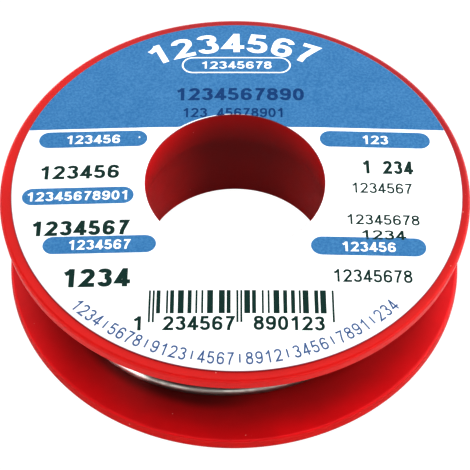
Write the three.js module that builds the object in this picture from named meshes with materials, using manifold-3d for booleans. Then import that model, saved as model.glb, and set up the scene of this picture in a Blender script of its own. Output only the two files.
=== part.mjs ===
// A spool of solder wire: two moulded plastic halves pressed together at the hub, a round paper
// label, and about four metres of 2 mm wire wound between the flanges in layers.
// Millimetres, +Z up. The origin is the centre of the foot that the spool stands on, and the
// front of the label faces -Y.
import * as THREE from "three";
import { mergeVertices } from "three/addons/utils/BufferGeometryUtils.js";
import Module from "manifold-3d";

const wasm = await Module();
wasm.setup();

// ---------------------------------------------------------------- driving dimensions, mm

// The spool's two halves
const flangeDiameter = 63;
const rimThickness = 1.7; // the rim is fully round
const windingWidth = 12.6; // between the inner faces of the flanges
const faceFall = 0.4; // how far a flange's outer face falls from its land to its rim
const landWidth = 3.2; // the flat ring round the bore, on which the spool stands
const hubDiameter = 28.2; // the barrel that the wire is wound on
const rootFillet = 0.8; // where the lower flange meets the barrel
const edgeRound = 0.1; // broken edges of both bores

// The joint of the two halves inside the hub
const upperBoreDiameter = 24;
const lowerBoreDiameter = 25.6;
const spigotWall = 1;
const spigotLength = 2.9; // below the upper flange's inner face
const spigotClearance = 0.25; // round the spigot, between its ribs
const ribHeight = 0.15; // crush ribs that centre the spigot in the socket
const ribWidth = 0.9;
const ribCount = 6;
const spigotChamfer = 0.4;
const ledgeGap = 0.3; // under the spigot's end

// The hole in the lower flange that holds the wire's inner end
const anchorHoleDiameter = 2.8;
const anchorHoleMargin = 0.3; // from the barrel to the hole
const anchorAngle = 35; // degrees about +Z from +X

// The label
const labelInnerDiameter = 24.1;
const labelOuterDiameter = 60.2;
const labelThickness = 0.16;
const glueThickness = 0.04;

// The wire
const wireDiameter = 2;
const layerCount = 6;
const nesting = 0.85; // how far a layer lies above the last one, as a share of the wire's diameter
const leastTurnGap = 0.45; // between the turns of the outer layer
const windingClearance = 0.3; // between the layers, and from the winding to the spool
const stepOverShare = 0.35; // of a turn, in which the wire steps over to its next turn
const wireEndAngle = -60; // degrees: where the cut end lies, right of the front
const looseTurnBulge = 1.5; // the last turn stands off the layer below it at the front left
const looseTurnAngle = -138; // degrees: where it stands off furthest
const looseTurnSpread = 45; // degrees to each side
const endSpring = 0.5; // how far the cut end springs out

// Facets
const roundSteps = 96; // round the spool
const rimSteps = 8; // over the half round of a rim
const filletSteps = 3;
const stepsPerTurn = 24; // along the wire
const wireSides = 6;
const holeSides = 16;

// ---------------------------------------------------------------- levels and radii from them

const flangeRadius = flangeDiameter / 2;
const rimRadius = rimThickness / 2;
const hubRadius = hubDiameter / 2;
const upperBoreRadius = upperBoreDiameter / 2;
const lowerBoreRadius = lowerBoreDiameter / 2;
const wireRadius = wireDiameter / 2;

const lowerInnerFace = faceFall + rimThickness;
const upperInnerFace = lowerInnerFace + windingWidth;
const spoolHeight = upperInnerFace + rimThickness + faceFall;

const spigotRadius = upperBoreRadius + spigotWall;
const socketRadius = spigotRadius + spigotClearance;
const spigotEnd = upperInnerFace - spigotLength;
const ledgeLevel = spigotEnd - ledgeGap;

const anchorHoleRadius = anchorHoleDiameter / 2;
const anchorRadius = hubRadius + anchorHoleMargin + anchorHoleRadius;

const outerLayerRadius = hubRadius + wireRadius + (layerCount - 1) * nesting * wireDiameter;
const layerWidth = windingWidth - windingClearance;
const rowCount = Math.floor((layerWidth + leastTurnGap) / (wireDiameter + leastTurnGap));
const rowPitch = (layerWidth - wireDiameter) / (rowCount - 1);
const outerTurns = rowCount - stepOverShare;

const degrees = Math.PI / 180;

// ---------------------------------------------------------------- geometry helpers

/** A ring turned about Z from a closed outline of [radius, height] points, counter-clockwise. */
function turned(outline, steps = roundSteps) {
  const points = [...outline, outline[0]].map(([r, z]) => new THREE.Vector2(r, z));
  return new THREE.LatheGeometry(points, steps).rotateX(Math.PI / 2);
}

/** Points of an arc in the outline's plane, both ends included. */
function arc(r, z, radius, from, to, steps) {
  const points = [];
  for (let i = 0; i <= steps; i++) {
    const a = (from + ((to - from) * i) / steps) * degrees;
    points.push([r + radius * Math.cos(a), z + radius * Math.sin(a)]);
  }
  return points;
}

/** A closed geometry as a solid that can be joined and cut. */
function solid(geometry) {
  const bare = geometry.clone();
  bare.deleteAttribute("normal");
  bare.deleteAttribute("uv");
  const merged = mergeVertices(bare, 1e-4);
  return new wasm.Manifold(
    new wasm.Mesh({
      numProp: 3,
      vertProperties: new Float32Array(merged.attributes.position.array),
      triVerts: new Uint32Array(merged.index.array),
    }),
  );
}

/** A solid's surface as a geometry. */
function surface(body) {
  const mesh = body.getMesh();
  return new THREE.BufferGeometry()
    .setAttribute("position", new THREE.BufferAttribute(mesh.vertProperties, 3))
    .setIndex(new THREE.BufferAttribute(mesh.triVerts, 1));
}

/** A tube of wireSides sides round a list of points, closed by a flat cap at each end. */
function tube(path, radius) {
  const positions = [];
  const index = [];
  const up = new THREE.Vector3(0, 0, 1);
  path.forEach((point, i) => {
    const before = path[Math.max(i - 1, 0)];
    const after = path[Math.min(i + 1, path.length - 1)];
    const along = new THREE.Vector3().subVectors(after, before).normalize();
    const side = new THREE.Vector3().crossVectors(up, along).normalize();
    const top = new THREE.Vector3().crossVectors(along, side);
    for (let k = 0; k < wireSides; k++) {
      const a = (2 * Math.PI * k) / wireSides;
      const corner = point
        .clone()
        .addScaledVector(side, radius * Math.cos(a))
        .addScaledVector(top, radius * Math.sin(a));
      positions.push(corner.x, corner.y, corner.z);
    }
  });
  for (let i = 0; i + 1 < path.length; i++) {
    for (let k = 0; k < wireSides; k++) {
      const a = i * wireSides + k;
      const b = i * wireSides + ((k + 1) % wireSides);
      index.push(a, b, b + wireSides, a, b + wireSides, a + wireSides);
    }
  }
  const last = (path.length - 1) * wireSides;
  for (let k = 1; k + 1 < wireSides; k++) {
    index.push(0, k + 1, k, last, last + k, last + k + 1);
  }
  return new THREE.BufferGeometry()
    .setAttribute("position", new THREE.Float32BufferAttribute(positions, 3))
    .setIndex(index);
}

/** The outer face of a flange, from the bore's broken edge to the rim, for a foot at height 0. */
function flangeFace(boreRadius) {
  return [
    [boreRadius, edgeRound],
    [boreRadius + edgeRound, 0],
    [boreRadius + landWidth, 0],
    ...arc(flangeRadius - rimRadius, faceFall + rimRadius, rimRadius, -90, 90, rimSteps),
  ];
}

/** The same face upside down, for the top of the spool. */
function upsideDown(outline) {
  return outline.map(([r, z]) => [r, spoolHeight - z]).reverse();
}

// ---------------------------------------------------------------- the spool's halves

/** The lower flange with the barrel, its socket, and the hole for the wire's inner end. */
function lowerHalf() {
  const filletLevel = lowerInnerFace + rootFillet;
  const fillet = arc(hubRadius + rootFillet, filletLevel, rootFillet, 270, 180, filletSteps);
  const body = turned([
    ...flangeFace(lowerBoreRadius),
    ...fillet,
    [hubRadius, upperInnerFace],
    [socketRadius + spigotChamfer, upperInnerFace],
    [socketRadius, upperInnerFace - spigotChamfer],
    [socketRadius, ledgeLevel],
    [lowerBoreRadius, ledgeLevel],
  ]);
  const drill = new THREE.CylinderGeometry(
    anchorHoleRadius,
    anchorHoleRadius,
    3 * lowerInnerFace,
    holeSides,
  );
  drill.rotateX(Math.PI / 2).translate(anchorRadius, 0, lowerInnerFace / 2);
  drill.rotateZ(anchorAngle * degrees);
  return surface(solid(body).subtract(solid(drill)));
}

/** The upper flange with its spigot and the crush ribs on it. */
function upperHalf() {
  let body = solid(
    turned([
      [upperBoreRadius, spigotEnd],
      [spigotRadius - spigotChamfer, spigotEnd],
      [spigotRadius, spigotEnd + spigotChamfer],
      [spigotRadius, upperInnerFace],
      ...upsideDown(flangeFace(upperBoreRadius)),
    ]),
  );
  for (let i = 0; i < ribCount; i++) {
    body = body.add(solid(crushRib((2 * Math.PI * i) / ribCount)));
  }
  return surface(body);
}

/** One rib along the spigot, with a lead-in at its lower end. */
function crushRib(angle) {
  const top = upperInnerFace - spigotChamfer;
  const foot = spigotEnd + spigotChamfer;
  const crest = spigotRadius + ribHeight;
  const side = new THREE.Shape([
    new THREE.Vector2(spigotRadius - spigotWall / 2, foot),
    new THREE.Vector2(spigotRadius, foot),
    new THREE.Vector2(crest, foot + spigotChamfer),
    new THREE.Vector2(crest, top),
    new THREE.Vector2(spigotRadius - spigotWall / 2, top),
  ]);
  return new THREE.ExtrudeGeometry(side, { depth: ribWidth, bevelEnabled: false })
    .translate(0, 0, -ribWidth / 2)
    .rotateX(Math.PI / 2)
    .rotateZ(angle);
}

// ---------------------------------------------------------------- the label

/** How high the upper flange's outer face lies at a radius. */
function faceHeight(radius) {
  const land = upperBoreRadius + landWidth;
  const edge = flangeRadius - rimRadius;
  const share = Math.max(0, (radius - land) / (edge - land));
  return spoolHeight - faceFall * share;
}

/** A paper ring that follows the upper flange's face. */
function label() {
  const radii = [labelInnerDiameter / 2, upperBoreRadius + landWidth, labelOuterDiameter / 2];
  const under = radii.map((r) => [r, faceHeight(r) + glueThickness]);
  const over = radii.map((r) => [r, faceHeight(r) + glueThickness + labelThickness]).reverse();
  return turned([...under, ...over]);
}

// ---------------------------------------------------------------- the wire

/** The inner layers, wound tight, as a plain ring with the wire's inner end in its hole. */
function innerLayers() {
  const inner = hubRadius + windingClearance;
  const outer = outerLayerRadius - wireRadius - windingClearance;
  const low = lowerInnerFace + windingClearance;
  const high = upperInnerFace - windingClearance;
  const body = turned([
    [inner + rootFillet, low],
    [outer, low],
    [outer, high],
    [inner, high],
    [inner, low + rootFillet],
  ]);
  const tail = new THREE.CylinderGeometry(wireRadius, wireRadius, low + wireRadius, holeSides);
  tail.rotateX(Math.PI / 2).translate(anchorRadius, 0, (low + wireRadius) / 2 + edgeRound);
  tail.rotateZ(anchorAngle * degrees);
  return surface(solid(body).add(solid(tail)));
}

/** 0 up to 1 along a smooth step. */
function smooth(t) {
  const s = Math.min(Math.max(t, 0), 1);
  return s * s * (3 - 2 * s);
}

/** The middle of the outer layer's wire, some turns back from its cut end. */
function layerPoint(turnsBack) {
  const whole = Math.floor(turnsBack);
  const step = smooth((turnsBack - whole - 1 + stepOverShare) / stepOverShare);
  const lowestRow = lowerInnerFace + windingClearance / 2 + wireRadius;
  const angle = wireEndAngle - 360 * turnsBack;
  const loose = turnsBack < 1 ? Math.abs(angle - looseTurnAngle) / looseTurnSpread : 1;
  const sprung = smooth(1 - turnsBack / (stepOverShare / 4));
  const radius = outerLayerRadius + looseTurnBulge * smooth(1 - loose) + endSpring * sprung;
  return new THREE.Vector3(
    radius * Math.cos(angle * degrees),
    radius * Math.sin(angle * degrees),
    lowestRow + (whole + step) * rowPitch,
  );
}

/** The outer layer's path, with a straight stretch of one wire diameter at each end. */
function outerLayerPath() {
  const steps = Math.round(outerTurns * stepsPerTurn);
  const path = [];
  for (let i = 0; i <= steps; i++) {
    path.push(layerPoint((outerTurns * i) / steps));
  }
  const straight = (end, next) =>
    new THREE.Vector3().subVectors(end, next).setLength(wireDiameter).add(end);
  return [straight(path[0], path[1]), ...path, straight(path[steps], path[steps - 1])];
}

/** The least gap that a tube round a path leaves to its own other turns. */
function gapToItself(path, diameter) {
  const apart = Math.floor(stepsPerTurn / 2);
  const line = new THREE.Line3();
  const nearest = new THREE.Vector3();
  let least = Infinity;
  path.forEach((point, i) => {
    for (let j = i + apart; j + 1 < path.length; j++) {
      line.set(path[j], path[j + 1]).closestPointToPoint(point, true, nearest);
      least = Math.min(least, nearest.distanceTo(point) - diameter);
    }
  });
  return least;
}

// ---------------------------------------------------------------- the assembly

const redPlastic = new THREE.MeshStandardMaterial({ color: 0xd01818, roughness: 0.35, metalness: 0 });
const labelPaper = new THREE.MeshStandardMaterial({ color: 0xf4f4f2, roughness: 0.8, metalness: 0 });
const solder = new THREE.MeshStandardMaterial({ color: 0xb9bcbe, roughness: 0.3, metalness: 1 });

const spool = new THREE.Group();

function add(name, geometry, material) {
  const mesh = new THREE.Mesh(geometry, material);
  mesh.name = name;
  spool.add(mesh);
}

const outerPath = outerLayerPath();
console.log("outer layer: least gap to itself " + gapToItself(outerPath, wireDiameter).toFixed(3) + " mm");

add("lower_half", lowerHalf(), redPlastic);
add("upper_half", upperHalf(), redPlastic);
add("label", label(), labelPaper);
add("solder_inner_layers", innerLayers(), solder);
add("solder_outer_layer", tube(outerPath, wireRadius), solder);

export default spool;
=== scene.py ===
"""Looks of a spool of solder wire: two red mouldings, a printed paper ring and the wound wire.

The part's own frame is used throughout: +Z up along the hub's axis, the origin at the centre of the
foot that the spool stands on, and the front of the label towards -Y. Shapes are drawn in millimetres
and become metres when their mesh is made.
"""

import logging
import math
from collections.abc import Callable, Iterable, Sequence
from dataclasses import dataclass, field
from enum import Enum

import bmesh
import bpy
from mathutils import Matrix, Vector


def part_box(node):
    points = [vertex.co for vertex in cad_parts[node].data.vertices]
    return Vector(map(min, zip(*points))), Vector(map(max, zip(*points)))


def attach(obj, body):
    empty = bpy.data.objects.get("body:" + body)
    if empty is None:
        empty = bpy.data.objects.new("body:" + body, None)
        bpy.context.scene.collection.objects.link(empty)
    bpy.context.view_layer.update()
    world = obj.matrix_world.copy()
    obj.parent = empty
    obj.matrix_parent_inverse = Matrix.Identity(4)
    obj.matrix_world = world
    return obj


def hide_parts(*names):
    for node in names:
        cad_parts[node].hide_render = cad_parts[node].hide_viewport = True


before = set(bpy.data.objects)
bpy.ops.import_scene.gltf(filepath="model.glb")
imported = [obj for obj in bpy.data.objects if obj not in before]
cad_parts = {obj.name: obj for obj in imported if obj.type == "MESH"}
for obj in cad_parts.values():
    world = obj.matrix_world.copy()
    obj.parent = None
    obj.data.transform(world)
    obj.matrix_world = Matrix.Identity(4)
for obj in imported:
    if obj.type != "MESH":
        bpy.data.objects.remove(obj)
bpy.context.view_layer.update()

log = logging.getLogger("spool")

MM = 0.001

Point = tuple[float, float]
Colour = tuple[float, float, float, float]
Sector = tuple[float, float, float]
"""A direction in degrees, and how many degrees off it a mask is 0 and 1."""

USUAL_NOISE: Point = (0.3, 0.7)
"""The values that most of a noise lies between."""

ON_AXIS = 0.001
"""How near to its axis the outline of a round tool starts, in millimetres."""


class Slot(Enum):
    """The record's material slots."""

    PLASTIC = "red_plastic"
    PAPER = "label_paper"
    SOLDER = "solder_wire"


# ---------------------------------------------------------------------------- sizes


@dataclass(frozen=True)
class SpoolSizes:
    """The spool's own sizes in millimetres.

    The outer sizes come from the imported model's nodes, and the rest are those that a box can't give.
    """

    flange_radius: float
    height: float
    upper_inner_face: float
    spigot_end: float
    label_radius: float
    label_top: float
    rim_thickness: float = 1.7
    rim_outer_round: float = 0.5
    rim_inner_round: float = 0.5
    rim_draft: float = 0.08
    rim_bead: float = 0.38
    bead_reach: Point = (1.2, 2.2)
    bead_fall: float = 0.05
    upper_radius_loss: float = 0.13
    upper_slip: Point = (0.0, -0.05)
    lower_radius_loss: float = 0.1
    lower_slip: Point = (-0.1, -0.1)
    slip_zone: float = 3.0
    land_width: float = 3.2
    land_blend: float = 0.4
    land_fall: float = 0.01
    hub_radius: float = 14.1
    upper_bore_radius: float = 12.0
    lower_bore_radius: float = 12.8
    edge_round: float = 0.1
    edge_chamfer: float = 0.08
    spigot_wall: float = 1.0
    spigot_clearance: float = 0.25
    spigot_chamfer: float = 0.4
    rib_height: float = 0.15
    rib_width: float = 0.9
    rib_count: int = 6
    ledge_gap: float = 0.3
    root_fillet: float = 0.8
    anchor_hole_radius: float = 1.4
    anchor_hole_round: float = 0.25
    anchor_radius: float = 15.8
    anchor_angle: float = 35.0

    @classmethod
    def from_frame(cls) -> "SpoolSizes":
        """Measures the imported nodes.

        Returns:
            The sizes that both the mouldings and what lies on them are made from.
        """
        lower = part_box("lower_half")
        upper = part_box("upper_half")
        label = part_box("label")
        return cls(
            flange_radius=lower[1].x / MM,
            height=upper[1].z / MM,
            upper_inner_face=lower[1].z / MM,
            spigot_end=upper[0].z / MM,
            label_radius=label[1].x / MM,
            label_top=label[1].z / MM,
        )

    @property
    def face_fall(self) -> float:
        """How far a flange's outer face falls from its land to its rim."""
        return self.height - self.rim_thickness - self.upper_inner_face

    @property
    def lower_inner_face(self) -> float:
        """The level of the lower flange's inner face."""
        return self.face_fall + self.rim_thickness

    def face_level(self, radius: float) -> float:
        """The level of the upper flange's outer face.

        Args:
            radius: Distance from the hub's axis.

        Returns:
            The level in millimetres above the foot.
        """
        land = self.upper_bore_radius + self.land_width
        edge = self.flange_radius - self.rim_outer_round
        share = max(0.0, (radius - land) / (edge - land))
        return self.height - self.face_fall * share


# ---------------------------------------------------------------------------- meshes


def arc(centre: Point, radius: float, start: float, end: float, steps: int) -> list[Point]:
    """Points of an arc.

    Args:
        centre: Middle of the arc.
        radius: Its radius.
        start: First angle in degrees.
        end: Last angle in degrees.
        steps: How many chords it has.

    Returns:
        The points, both ends included.
    """
    points = []
    for i in range(steps + 1):
        a = math.radians(start + (end - start) * i / steps)
        points.append((centre[0] + radius * math.cos(a), centre[1] + radius * math.sin(a)))
    return points


def make_object(name: str, bm: bmesh.types.BMesh, smooth_below: float = 30.0) -> bpy.types.Object:
    """Turns a mesh drawn in millimetres into an object in metres.

    Args:
        name: The object's name.
        bm: The mesh, which is freed.
        smooth_below: Edges that bend more than this many degrees stay sharp.

    Returns:
        The object, linked to the scene.
    """
    bmesh.ops.recalc_face_normals(bm, faces=bm.faces)
    bmesh.ops.scale(bm, vec=(MM, MM, MM), verts=bm.verts)
    mesh = bpy.data.meshes.new(name)
    bm.to_mesh(mesh)
    bm.free()
    mesh.polygons.foreach_set("use_smooth", [True] * len(mesh.polygons))
    mesh.set_sharp_from_angle(angle=math.radians(smooth_below))
    made = bpy.data.objects.new(name, mesh)
    bpy.context.scene.collection.objects.link(made)
    return made


def sweep_ring(
    bm: bmesh.types.BMesh,
    outline: Sequence[Point],
    steps: int,
    swell: Callable[[int, float], float] | None = None,
) -> None:
    """Turns a closed outline about the hub's axis.

    Args:
        bm: The mesh that the ring is added to.
        outline: Points of radius and level, counter-clockwise.
        steps: How many steps the ring has.
        swell: Gives what is added to a point's radius from its index and its angle in degrees.
    """
    rings = []
    for step in range(steps):
        degrees = 360 * step / steps
        a = math.radians(degrees)
        ring = []
        for i, (radius, level) in enumerate(outline):
            r = radius + (swell(i, degrees) if swell else 0.0)
            ring.append(bm.verts.new((r * math.cos(a), r * math.sin(a), level)))
        rings.append(ring)
    count = len(outline)
    for here, there in zip(rings, rings[1:] + rings[:1]):
        for i in range(count):
            j = (i + 1) % count
            bm.faces.new((here[i], there[i], there[j], here[j]))


def combine(body: bpy.types.Object, tool: bpy.types.Object, how: str) -> None:
    """Joins one closed object to another or cuts it out, and removes it.

    Args:
        body: What is changed.
        tool: What is added or taken away.
        how: UNION or DIFFERENCE.
    """
    modifier = body.modifiers.new("combine", "BOOLEAN")
    modifier.operation = how
    modifier.solver = "EXACT"
    modifier.object = tool
    depsgraph = bpy.context.evaluated_depsgraph_get()
    mesh = bpy.data.meshes.new_from_object(body.evaluated_get(depsgraph))
    body.modifiers.clear()
    old = body.data
    body.data = mesh
    bpy.data.meshes.remove(old)
    bpy.data.objects.remove(tool)


def finish_piece(
    piece: bpy.types.Object, material: bpy.types.Material, replaced: Iterable[str] = ()
) -> None:
    """Gives a piece its finish and its place in the part.

    Args:
        piece: The piece.
        material: Its finish.
        replaced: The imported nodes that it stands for.
    """
    piece.data.materials.clear()
    piece.data.materials.append(material)
    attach(piece, "root")
    names = list(replaced)
    if names:
        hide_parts(*names)
    log.info("%s: %d faces, for %s", piece.name, len(piece.data.polygons), names or "no node")


# ---------------------------------------------------------------------------- shader nodes


@dataclass(frozen=True)
class Wiring:
    """Adds nodes to one node tree and joins them."""

    tree: bpy.types.NodeTree

    def feed(self, node: bpy.types.Node, inputs: dict) -> None:
        """Sets a node's inputs or joins them to other nodes.

        Args:
            node: The node.
            inputs: Socket name or index, to a number, colour, or another node's output.
        """
        for key, value in inputs.items():
            if isinstance(value, bpy.types.NodeSocket):
                self.tree.links.new(value, node.inputs[key])
            else:
                node.inputs[key].default_value = value

    def add(self, kind: str, inputs: dict | None = None, **settings: object) -> bpy.types.Node:
        """Adds a node.

        Args:
            kind: The node's type without the leading ShaderNode.
            inputs: What its inputs are fed with.
            **settings: The node's own properties.

        Returns:
            The node.
        """
        node = self.tree.nodes.new("ShaderNode" + kind)
        for name, value in settings.items():
            setattr(node, name, value)
        self.feed(node, inputs or {})
        return node

    def math(self, operation: str, *values: object) -> bpy.types.NodeSocket:
        """Adds a math node.

        Args:
            operation: The node's operation.
            *values: Numbers or outputs of other nodes.

        Returns:
            The node's output.
        """
        return self.add("Math", dict(enumerate(values)), operation=operation).outputs[0]

    def times(self, a: object, b: object) -> bpy.types.NodeSocket:
        """One value times another."""
        return self.math("MULTIPLY", a, b)

    def plus(self, a: object, b: object) -> bpy.types.NodeSocket:
        """The sum of two values."""
        return self.math("ADD", a, b)

    def mix(self, fac: object, a: object, b: object) -> bpy.types.NodeSocket:
        """Mixes two colours by the share of the second."""
        return self.add("Mix", {0: fac, 6: a, 7: b}, data_type="RGBA").outputs[2]

    def bump(self, height: bpy.types.NodeSocket, depth: float) -> bpy.types.NodeSocket:
        """Small relief from 0 to 1 as a normal, where 1 stands for the depth in millimetres."""
        return self.add("Bump", {"Height": height, "Distance": depth * MM, "Strength": 1.0}).outputs[0]

    def along(self, x: object, y: object, angle: float) -> bpy.types.NodeSocket:
        """How far a flat vector reaches in a direction that is given in degrees."""
        a = math.radians(angle)
        return self.plus(self.times(x, math.cos(a)), self.times(y, math.sin(a)))

    def length(self, x: object, y: object) -> bpy.types.NodeSocket:
        """The length of a flat vector."""
        return self.math("SQRT", self.plus(self.times(x, x), self.times(y, y)))

    def ramp(self, value: object, low: float, high: float, to: Point = (0, 1)) -> bpy.types.NodeSocket:
        """Maps a range of values smoothly to another.

        Args:
            value: The output to map.
            low: Its low end.
            high: Its high end.
            to: What the two ends become.

        Returns:
            The mapped output.
        """
        sockets = {0: value, 1: low, 2: high, 3: to[0], 4: to[1]}
        return self.add("MapRange", sockets, interpolation_type="SMOOTHSTEP").outputs[0]

    def polar(self) -> "Polar":
        """Where a point lies about the hub's axis.

        Returns:
            The outputs that hold its place, its level and its distance from the axis.
        """
        x, y, z = self.add("SeparateXYZ", {0: self.add("TexCoord").outputs["Object"]}).outputs
        return Polar(self, x, y, z, self.length(x, y))


@dataclass(frozen=True)
class Polar:
    """A point's place about the hub's axis, as outputs of a material."""

    w: Wiring
    x: bpy.types.NodeSocket
    y: bpy.types.NodeSocket
    level: bpy.types.NodeSocket
    radius: bpy.types.NodeSocket

    def towards(self, sector: Sector) -> bpy.types.NodeSocket:
        """A mask that is 1 where a point lies in one direction from the axis.

        Args:
            sector: The direction and the mask's two ends.

        Returns:
            The mask's output.
        """
        angle, outer, inner = sector
        share = self.w.math("DIVIDE", self.w.along(self.x, self.y, angle), self.radius)
        return self.w.ramp(share, math.cos(math.radians(outer)), math.cos(math.radians(inner)))


def new_group(
    name: str, inputs: dict[str, float], outputs: Sequence[str]
) -> tuple[Wiring, bpy.types.NodeOutputs, bpy.types.Node]:
    """Starts a shader node group.

    Args:
        name: The group's name.
        inputs: Its inputs and their usual values.
        outputs: Its outputs.

    Returns:
        Its wiring, the values that it is given, and its output node.
    """
    group = bpy.data.node_groups.new(name, "ShaderNodeTree")
    for key, value in inputs.items():
        socket = group.interface.new_socket(key, in_out="INPUT", socket_type="NodeSocketFloat")
        socket.default_value = value
    for key in outputs:
        group.interface.new_socket(key, in_out="OUTPUT", socket_type="NodeSocketFloat")
    entry = group.nodes.new("NodeGroupInput")
    return Wiring(group), entry.outputs, group.nodes.new("NodeGroupOutput")


class Effects:
    """The effects that several finishes share, each a node group that is made once."""

    def __init__(self) -> None:
        """Builds the groups."""
        self.grain = self._grain()
        self.specks = self._specks()
        self.scuffs = self._scuffs()
        self.drawn = self._drawn()

    @staticmethod
    def use(w: Wiring, group: bpy.types.NodeTree, **values: float) -> bpy.types.NodeOutputs:
        """Places a group in a material.

        Args:
            w: The material's wiring.
            group: The group.
            **values: Its inputs.

        Returns:
            What the group gives.
        """
        node = w.add("Group", node_tree=group)
        w.feed(node, values)
        return node.outputs

    @staticmethod
    def _grain() -> bpy.types.NodeTree:
        """Even cloudiness of one size with finer cloudiness in it.

        Returns:
            The group.
        """
        w, given, leave = new_group("grain", {"Size": 1.0}, ("Cloud", "Fine"))
        finer = 6.0
        place = w.add("TexCoord").outputs["Object"]
        scale = w.math("DIVIDE", 1 / MM, given["Size"])
        small = w.times(scale, finer)
        cloud = w.add("TexNoise", {"Vector": place, "Scale": scale, "Detail": 3.0, "Roughness": 0.55})
        fine = w.add("TexNoise", {"Vector": place, "Scale": small, "Detail": 2.0, "Roughness": 0.6})
        w.feed(leave, {"Cloud": cloud.outputs[0], "Fine": fine.outputs[0]})
        return w.tree

    @staticmethod
    def _specks() -> bpy.types.NodeTree:
        """A few small dots of uneven outline, such as dust.

        Returns:
            The group.
        """
        w, given, leave = new_group("specks", {"Spacing": 2.0, "Speck": 0.1}, ("Mask",))
        ragged_scale, ragged_reach = 2.5, 0.12
        place = w.add("TexCoord").outputs["Object"]
        bent = w.add("TexNoise", {"Vector": place, "Scale": ragged_scale / MM, "Detail": 1.0})
        moved = w.add("VectorMath", {0: bent.outputs["Color"], "Scale": ragged_reach * MM}, operation="SCALE")
        put = w.add("VectorMath", {0: place, 1: moved.outputs[0]}, operation="ADD")
        scale = w.math("DIVIDE", 1 / MM, given["Spacing"])
        cells = w.add("TexVoronoi", {"Vector": put.outputs[0], "Scale": scale}).outputs
        radius = w.math("DIVIDE", given["Speck"], given["Spacing"])
        drawn = w.add("SeparateColor", {0: cells["Color"]})
        own = w.times(radius, drawn.outputs[0])
        w.feed(leave, {"Mask": w.math("LESS_THAN", cells["Distance"], own)})
        return w.tree

    @staticmethod
    def _scuffs() -> bpy.types.NodeTree:
        """Thin long marks that cross each other.

        Returns:
            The group.
        """
        w, given, leave = new_group("scuffs", {"Length": 8.0, "Width": 0.1}, ("Mask",))
        turns, spacing, sparse = (0.4, 1.9), 0.35, (0.68, 0.8)
        place = w.add("TexCoord").outputs["Object"]
        across = w.math("DIVIDE", 1 / MM, given["Width"])
        along = w.math("DIVIDE", 1 / MM, given["Length"])
        stretch = w.add("CombineXYZ", {0: along, 1: across, 2: across}).outputs[0]
        marks = []
        for turn in turns:
            turned = w.add("VectorRotate", {"Vector": place, "Angle": turn}, rotation_type="Z_AXIS")
            put = w.add("VectorMath", {0: turned.outputs[0], 1: stretch}, operation="MULTIPLY")
            noise = w.add("TexNoise", {"Vector": put.outputs[0], "Scale": spacing, "Detail": 1.0})
            marks.append(w.ramp(noise.outputs[0], *sparse))
        w.feed(leave, {"Mask": w.math("MAXIMUM", *marks)})
        return w.tree

    @staticmethod
    def _drawn() -> bpy.types.NodeTree:
        """Fine lines that run round the hub's axis, as on drawn wire.

        Returns:
            The group.
        """
        w, given, leave = new_group("drawn_lines", {"Width": 0.1, "Length": 12.0}, ("Lines",))
        mean_radius = 24.0
        place = w.polar()
        across = w.math("DIVIDE", 1 / MM, given["Width"])
        along = w.math("DIVIDE", mean_radius, given["Length"])
        angle = w.math("ARCTAN2", place.y, place.x)
        parts = ((place.radius, across), (angle, along), (place.level, across))
        put = w.add("CombineXYZ", {i: w.times(*pair) for i, pair in enumerate(parts)})
        noise = w.add("TexNoise", {"Vector": put.outputs[0], "Scale": 1.0, "Detail": 2.0})
        w.feed(leave, {"Lines": noise.outputs[0]})
        return w.tree


# ---------------------------------------------------------------------------- finishes


def new_material(name: str) -> tuple[bpy.types.Material, Wiring, bpy.types.Node]:
    """Starts a material with one Principled shader.

    Args:
        name: The material's name.

    Returns:
        The material, its wiring and its shader.
    """
    material = bpy.data.materials.new(name)
    material.use_nodes = True
    material.node_tree.nodes.clear()
    w = Wiring(material.node_tree)
    shader = w.add("BsdfPrincipled")
    w.add("OutputMaterial", {"Surface": shader.outputs[0]})
    return material, w, shader


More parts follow.
